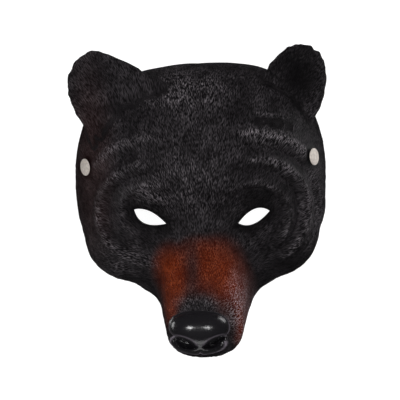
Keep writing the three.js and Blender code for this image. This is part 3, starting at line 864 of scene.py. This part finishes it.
def ear_leaf(ear):
    """A cupped leaf that stands on the head and flares where it meets it."""
    pointing = math.radians(ear["points"])
    up = np.array([math.cos(pointing), math.sin(pointing)])
    along = np.array([up[1], -up[0]])
    turns = 2 * np.pi * np.arange(EAR_SPOKES)[:, None] / EAR_SPOKES
    share = np.linspace(0, 1, EAR_RINGS + 1)[None, :] ** EAR_CROWDING

    turnover = EAR_TURNOVER["reach"]
    near = np.radians(np.linspace(-turnover, turnover, EAR_TURNOVER["steps"]))
    across, rise = np.mean([leaf_outline(ear, turns + step) for step in near], axis=0)
    edge_spots = [Vector((math.cos(turn), math.sin(turn), ear["x"])) for turn in turns[:, 0]]
    ragged = np.array([noise.noise(spot * EAR_TUFTS["around"]) for spot in edge_spots])[:, None]
    share = share * (1 + EAR_TUFTS["share"] * ragged * share ** EAR_TUFTS["power"])
    across, rise = across * share, rise * share
    reach = np.where(rise < 0, rise * EAR_ROOT, rise * ear["rise"])
    sideways = across * ear["half_width"] + np.maximum(rise, 0) * ear["tip"]
    flat = np.array([ear["x"], ear["y"]]) + sideways[..., None] * along + reach[..., None] * up
    from_middle = np.where(rise < 0, np.abs(across), share)
    dropped = ear["drop"] * across**2 * (1 - np.maximum(rise, 0))
    height = ear["edge"] + ear["lean"] * rise - dropped - ear["cup"] * (1 - from_middle**2)
    middle = np.concatenate([flat, (height - EAR_THICKNESS / 2)[..., None]], axis=2)

    edge = np.clip((share - 1 + EAR_ROUND) / EAR_ROUND, 0, 1)
    half = np.sqrt(1 - edge**2) * EAR_THICKNESS / 2
    head = height_of_head(flat.reshape(-1, 2)).reshape(across.shape) - EAR_SINK
    front = -soft_union(-middle[..., 2] - half, -head, ear["blend"])
    layers = [np.concatenate([flat, z[..., None]], axis=2) for z in (front, middle[..., 2] - half)]
    vertices = np.concatenate([grid_vertices(layer) for layer in layers])
    first = len(vertices) // 2
    faces = grid_faces(EAR_SPOKES, EAR_RINGS, 0) + turned_over(grid_faces(EAR_SPOKES, EAR_RINGS, first))
    for s in range(EAR_SPOKES):
        a, b = (edge_index(EAR_SPOKES, EAR_RINGS, 0, k) for k in (s, s + 1))
        c, d = (edge_index(EAR_SPOKES, EAR_RINGS, first, k) for k in (s, s + 1))
        faces.append((a, c, d, b))
    return vertices, faces


def ears():
    vertices, faces = joined([ear_leaf(ear) for ear in EARS])
    turns, apart = about_axis(vertices)
    strand, levels = fur_columns(turns, apart + EAR_FUR_START, 2 * np.pi * apart)
    attributes = {"strand": strand, "level": levels, "ear": np.ones(len(vertices))}
    # The ears take the painted shade of the dark spots too.
    attributes["painted_shade"] = spot_cover(vertices, PAINTED_SHADE_SPOTS)
    attributes["brown"] = spot_cover(vertices, BROWN_SPOTS)
    for label in ("grey_wear_and_highlight", "bare", "nose", "gloss", "line", "inside"):
        attributes[label] = np.zeros(len(vertices))
    return mesh_object("ears", vertices, faces, attributes)


def circle(sides):
    turns = np.arange(sides) * 2 * np.pi / sides
    return np.column_stack([np.cos(turns), np.sin(turns)])


def turned_to(points, way):
    """Points turned so that their +Z points the given way."""
    turn = Vector((0, 0, 1)).rotation_difference(Vector(way)).to_matrix()
    return points @ np.array(turn).T


def openings():
    """What is cut out of the moulding: all below the lip, the eye holes and the rivet bores."""
    heights = np.linspace(LIP_LINE["height"][0], LIP_LINE["height"][-1], LIP_STEPS + 1)
    lip = np.column_stack([heights, lip_at(heights)])
    below = np.array([[heights[0], LIP_FLOOR], [heights[-1], LIP_FLOOR]])
    outline = np.concatenate([below, lip[::-1]])
    flat, lip_faces = prism(outline, -LIP_HALF_WIDTH, LIP_HALF_WIDTH)
    tilt = math.radians(LIP_TILT)
    x, y, z = -flat[:, 2], flat[:, 1], flat[:, 0]
    across = x * math.cos(tilt) - y * math.sin(tilt)
    up = x * math.sin(tilt) + y * math.cos(tilt)
    shapes = [(np.column_stack([across, up, z]), lip_faces)]
    for side, eye in EYES.items():
        outline = almond(eye)
        outline = outline[::-1] if side == "left" else outline
        shapes.append(prism(outline, EYE_CUT["low"], EYE_CUT["high"]))
    for middle, out in SEATS.values():
        bore, faces = prism(circle(RIVET_SIDES) * RIVET_BORE, -BORE_REACH, BORE_REACH)
        shapes.append((turned_to(bore, out) + middle, faces))
    vertices, faces = joined(shapes)
    cut = np.ones(len(vertices))
    return mesh_object("openings", vertices, faces, {"bare": cut, "inside": cut})


def add_node(tree, kind, **settings):
    node = tree.nodes.new(kind)
    for name, value in settings.items():
        setattr(node, name, value)
    return node


def attribute(tree, name, output="Fac"):
    return add_node(tree, "ShaderNodeAttribute", attribute_name=name).outputs[output]


def feed(tree, socket, value):
    """Links a socket to another one, or sets a number or a colour on it."""
    if isinstance(value, bpy.types.NodeSocket):
        tree.links.new(value, socket)
    elif isinstance(value, tuple):
        socket.default_value = (*value, 1)
    else:
        socket.default_value = value


def set_inputs(tree, node, inputs):
    for name, value in inputs.items():
        feed(tree, node.inputs[name], value)


def math_node(tree, operation, first, second):
    """One step of arithmetic on two inputs, each a number or a socket."""
    node = add_node(tree, "ShaderNodeMath", operation=operation)
    feed(tree, node.inputs[0], first)
    feed(tree, node.inputs[1], second)
    return node.outputs[0]


def product(tree, first, *others):
    for other in others:
        first = math_node(tree, "MULTIPLY", first, other)
    return first


def ramp(tree, value, low, high):
    """A smooth rise from zero at the low value to one at the high one."""
    node = add_node(tree, "ShaderNodeMapRange", interpolation_type="SMOOTHSTEP")
    set_inputs(tree, node, {"Value": value, "From Min": low, "From Max": high})
    return node.outputs[0]


def mixed(tree, share, first, second, kind="RGBA"):
    """A colour or a number between two, each given as such or as a socket."""
    node = add_node(tree, "ShaderNodeMix", data_type=kind)
    low, high, result = MIX_SOCKETS[kind]
    tree.links.new(share, node.inputs[0])
    feed(tree, node.inputs[low], first)
    feed(tree, node.inputs[high], second)
    return node.outputs[result]


def object_noise(tree, size, detail):
    """Noise in the object's own space, with features of the given size."""
    texture = add_node(tree, "ShaderNodeTexNoise")
    place = add_node(tree, "ShaderNodeTexCoord").outputs["Object"]
    set_inputs(tree, texture, {"Vector": place, "Scale": METRE / size, "Detail": detail})
    return texture.outputs["Fac"]


def bump_of(tree, height, strength, depth):
    node = add_node(tree, "ShaderNodeBump")
    set_inputs(tree, node, {"Height": height, "Strength": strength, "Distance": depth / METRE})
    return node.outputs[0]


def strand_noise(tree):
    """Fur strands of one width all over the face: two sets, blended where one grows too wide."""
    strand = attribute(tree, "strand", "Vector")
    level = attribute(tree, "level")
    whole = math_node(tree, "FLOOR", level, 0)
    made = []
    for finer in (0, 1):
        count = math_node(tree, "POWER", 2, math_node(tree, "ADD", whole, finer))
        radius = math_node(tree, "DIVIDE", count, 2 * math.pi)
        stretch = add_node(tree, "ShaderNodeCombineXYZ")
        set_inputs(tree, stretch, {"X": radius, "Y": radius, "Z": 1})
        place = add_node(tree, "ShaderNodeVectorMath", operation="MULTIPLY")
        tree.links.new(strand, place.inputs[0])
        tree.links.new(stretch.outputs[0], place.inputs[1])
        texture = add_node(tree, "ShaderNodeTexNoise")
        set_inputs(tree, texture, {"Vector": place.outputs[0], "Scale": 1, "Detail": 0})
        made.append(texture.outputs["Fac"])
    return mixed(tree, math_node(tree, "SUBTRACT", level, whole), *made, kind="FLOAT")


def new_material(name):
    """A material that is still plain, with its node tree and its shader."""
    material = bpy.data.materials.new(name)
    material.use_nodes = True
    tree = material.node_tree
    return material, tree, tree.nodes["Principled BSDF"]


def foam_material():
    """Moulded foam: furred, spray-painted black and brown, with lighter tips and pale flecks that are
    worn paint and painted glints, patches of painted highlight and shade, and a glossy nose.
    """
    material, tree, shader = new_material("painted_foam")
    fur = strand_noise(tree)
    grain = object_noise(tree, **GRAIN)
    bare, nose, brown = (attribute(tree, name) for name in ("bare", "nose", "brown"))

    covered = math_node(tree, "SUBTRACT", 1, bare)
    # Painted shade takes the lighter tips and pale specks away.
    light = math_node(tree, "SUBTRACT", 1, attribute(tree, "painted_shade"))
    patch = ramp(tree, object_noise(tree, **PATCHES), *PATCH_RAMP)
    showing = math_node(tree, "ADD", product(tree, patch, PATCH_SHARE["span"]), PATCH_SHARE["least"])
    shown = product(tree, covered, light, showing)
    # Lighter tips on the moulded strands: paint, made lighter also as painted glints in place of their
    # sheen.
    tips = product(tree, ramp(tree, fur, *TIP_RAMP), shown)
    # Pale specks on the highest tips: worn paint, and painted glints.
    wear_and_glint_specks = product(tree, ramp(tree, fur, *WEAR_AND_GLINT_RAMP), attribute(tree, "grey_wear_and_highlight"), shown)

    colour = mixed(tree, brown, mixed(tree, tips, *BLACK_FUR), mixed(tree, tips, *BROWN_FUR))
    colour = mixed(tree, wear_and_glint_specks, colour, mixed(tree, brown, WEAR_AND_GLINT_ON_BLACK, WEAR_AND_GLINT_ON_BROWN))
    colour = mixed(tree, nose, colour, mixed(tree, grain, *NOSE_PAINT))
    # Painted highlight along the nostril rims and the bonnet's lower edge.
    colour = mixed(tree, attribute(tree, "line"), colour, PAINTED_NOSE_HIGHLIGHT)
    colour = mixed(tree, attribute(tree, "inside"), colour, mixed(tree, grain, *BARE_FOAM))
    roughness = mixed(tree, nose, FOAM_ROUGHNESS["fur"], FOAM_ROUGHNESS["nose"], kind="FLOAT")
    relief = math_node(tree, "ADD", product(tree, fur, covered), product(tree, grain, bare, PORE_SHARE))
    bump = bump_of(tree, relief, 1, FUR_DEPTH)
    set_inputs(tree, shader, {
        "Base Color": colour,
        "Roughness": roughness,
        "Specular IOR Level": FOAM_SPECULAR,
        "Normal": bump,
        "Coat Weight": attribute(tree, "gloss"),
        "Coat Roughness": NOSE_COAT["roughness"],
        "Coat IOR": NOSE_COAT["ior"],
        "Coat Normal": bump,
    })
    return material


def nickel_material():
    """Dulled metal, scuffed in fine patches."""
    material, tree, shader = new_material("nickel")
    scuffs = object_noise(tree, **SCUFFS)
    worn = ramp(tree, scuffs, *SCUFF_RAMP)
    polish = product(tree, worn, NICKEL_SHEEN["polish"])
    set_inputs(tree, shader, {
        "Base Color": mixed(tree, worn, *NICKEL),
        "Metallic": NICKEL_SHEEN["metallic"],
        "Roughness": math_node(tree, "ADD", polish, NICKEL_SHEEN["dull"]),
        "Normal": bump_of(tree, scuffs, **SCUFF_BUMP),
    })
    return material


def floor_material():
    material, tree, shader = new_material("pale_floor")
    set_inputs(tree, shader, {
        "Base Color": FLOOR_GREY,
        "Roughness": FLOOR_ROUGHNESS,
        "Specular IOR Level": 0,
        "Emission Color": WHITE,
        "Emission Strength": FLOOR_GLOW,
    })
    return material


def dress(target, material, smooth_below):
    target.data.materials.clear()
    target.data.materials.append(material)
    target.data.polygons.foreach_set("use_smooth", np.ones(len(target.data.polygons), bool))
    target.data.set_sharp_from_angle(angle=math.radians(smooth_below))


def soften_creases(target):
    """Rounds the crease where the ears stand on the head."""
    mesh = target.data
    points = np.empty(len(mesh.vertices) * 3, np.float32)
    mesh.vertices.foreach_get("co", points)
    points = points.reshape(-1, 3).astype(float)
    on_ear = np.empty(len(points), np.float32)
    mesh.attributes["ear"].data.foreach_get("value", on_ear)
    ends = np.empty(len(mesh.edges) * 2, np.int32)
    mesh.edges.foreach_get("vertices", ends)
    ends = ends.reshape(-1, 2)
    crossing = np.abs(on_ear[ends[:, 0]] - on_ear[ends[:, 1]]) > 0.5
    crease = points[np.unique(ends[crossing])]
    tree = kdtree.KDTree(len(crease))
    for i, point in enumerate(crease):
        tree.insert(point, i)
    tree.balance()
    apart = np.array([tree.find(point)[2] for point in points]) * METRE
    share = 1 - smoothstep(apart, CREASE["inner"], CREASE["outer"])
    ends = ends[(share[ends] > 0).any(axis=1)]
    here, there = np.concatenate([ends, ends[:, ::-1]]).T
    count = np.maximum(np.bincount(here, minlength=len(points)), 1)
    for _ in range(CREASE["rounds"]):
        for k in range(3):
            total = np.bincount(here, weights=points[there, k], minlength=len(points))
            points[:, k] += share / 2 * (total / count - points[:, k])
    mesh.vertices.foreach_set("co", points.astype(np.float32).ravel())
    mesh.update()


def make_mask():
    mask = mask_wall()
    mask = combined(mask, "UNION", combined(ears(), "DIFFERENCE", space_inside()))
    soften_creases(mask)
    mask = combined(mask, "DIFFERENCE", openings())
    dress(mask, foam_material(), SMOOTH_BELOW["foam"])
    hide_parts("mask_shell")
    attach(mask, "root")


def cap_profile():
    """A cap's outline from its flat side over the rolled edge and the groove to its crown."""
    radius, edge, crown = RIVET_CAP["radius"], RIVET_CAP["edge"], RIVET_CAP["crown"]
    half = edge / 2
    quarter = np.radians(np.linspace(0, 90, CAP_ROLL_STEPS))
    side = [[radius - edge, 0], [radius, edge / 4]]
    roll = np.column_stack([radius - half + half * np.cos(quarter), half + half * np.sin(quarter)])
    insets, heights = np.array(CAP_GROOVE["inset"]), np.array(CAP_GROOVE["height"])
    groove = np.column_stack([radius - edge * insets, edge * heights])
    reaches = np.linspace(radius - edge * CAP_DOME["inset"], CAP_DOME["least"], CAP_DOME["rings"])
    top = np.column_stack([reaches, crown - (crown - edge) * (reaches / radius) ** 2])
    return np.concatenate([side, roll, groove, top])


def make_cap(side, material):
    """A low domed disc with a rolled edge, where the CAD cap lies."""
    rings = [
        np.column_stack([circle(RIVET_SIDES) * reach, np.full(RIVET_SIDES, height)])
        for reach, height in cap_profile()
    ]
    faces = [tuple(range(RIVET_SIDES - 1, -1, -1))]
    for k in range(len(rings) - 1):
        for s in range(RIVET_SIDES):
            after = (s + 1) % RIVET_SIDES
            low, high = k * RIVET_SIDES, (k + 1) * RIVET_SIDES
            faces.append((low + s, low + after, high + after, high + s))
    last = (len(rings) - 1) * RIVET_SIDES
    faces.append(tuple(range(last, last + RIVET_SIDES)))
    middle, out = SEATS[side]
    cap = mesh_object(f"cap_{side}", turned_to(np.concatenate(rings), out) + middle, faces)
    dress(cap, material, SMOOTH_BELOW["cap"])
    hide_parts(f"rivet_cap_{side}")
    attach(cap, "root")


def make_floor():
    corners = np.array([[-1, -1, 0], [1, -1, 0], [1, 1, 0], [-1, 1, 0]]) * FLOOR_HALF * METRE + MIDDLE
    floor = mesh_object("floor", corners, [(0, 1, 2, 3)])
    floor.data.materials.append(floor_material())
    floor.visible_diffuse = False
    floor.visible_glossy = False


def make_light(name, place, size, power, aim=LIGHT_AIM, mirrored=True, spread=True):
    data = bpy.data.lights.new(name, "AREA")
    data.shape = "DISK"
    data.size = size
    data.energy = power
    light = bpy.data.objects.new(name, data)
    light.visible_glossy = mirrored
    light.visible_diffuse = spread
    light.visible_camera = spread
    light.location = place
    light.rotation_euler = (Vector(aim) - Vector(place)).to_track_quat("-Z", "Y").to_euler()
    bpy.context.scene.collection.objects.link(light)


def make_studio():
    make_floor()
    for light in LIGHTS:
        make_light(**light)
    for glow in GLOWS:
        place, above = (glow["x"], glow["y"], GLOW_HEIGHT), (glow["x"], glow["y"], 1)
        power = GLOW_RADIANCE * math.pi * math.pi * (glow["size"] / 2) ** 2
        make_light(glow["name"], place, glow["size"], power, above, spread=False)
    world = bpy.data.worlds.new("studio")
    world.use_nodes = True
    background = world.node_tree.nodes["Background"]
    set_inputs(world.node_tree, background, {"Color": WHITE, "Strength": WORLD_STRENGTH})
    bpy.context.scene.world = world
    bpy.context.scene.view_settings.view_transform = "Standard"


def make_camera():
    pitch = math.radians(CAMERA_PITCH)
    back = Vector((0, math.sin(pitch), math.cos(pitch)))
    right = Vector((0, 1, 0)).cross(back).normalized()
    turn = Matrix((right, back.cross(right), back)).transposed()
    data = bpy.data.cameras.new("camera")
    data.lens = CAMERA_LENS
    data.sensor_width = SENSOR
    camera = bpy.data.objects.new("camera", data)
    target = Vector((CAMERA_TARGET - MIDDLE) / METRE)
    place = Matrix.Translation(target + back * CAMERA_DISTANCE / METRE)
    spin = Matrix.Rotation(math.radians(-CAMERA_ROLL), 3, "Z")
    camera.matrix_world = place @ (turn @ spin).to_4x4()
    bpy.context.scene.collection.objects.link(camera)
    bpy.context.scene.camera = camera


make_mask()
nickel = nickel_material()
for side in ("left", "right"):
    make_cap(side, nickel)
    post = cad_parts[f"rivet_post_{side}"]
    dress(post, nickel, SMOOTH_BELOW["post"])
make_studio()
make_camera()
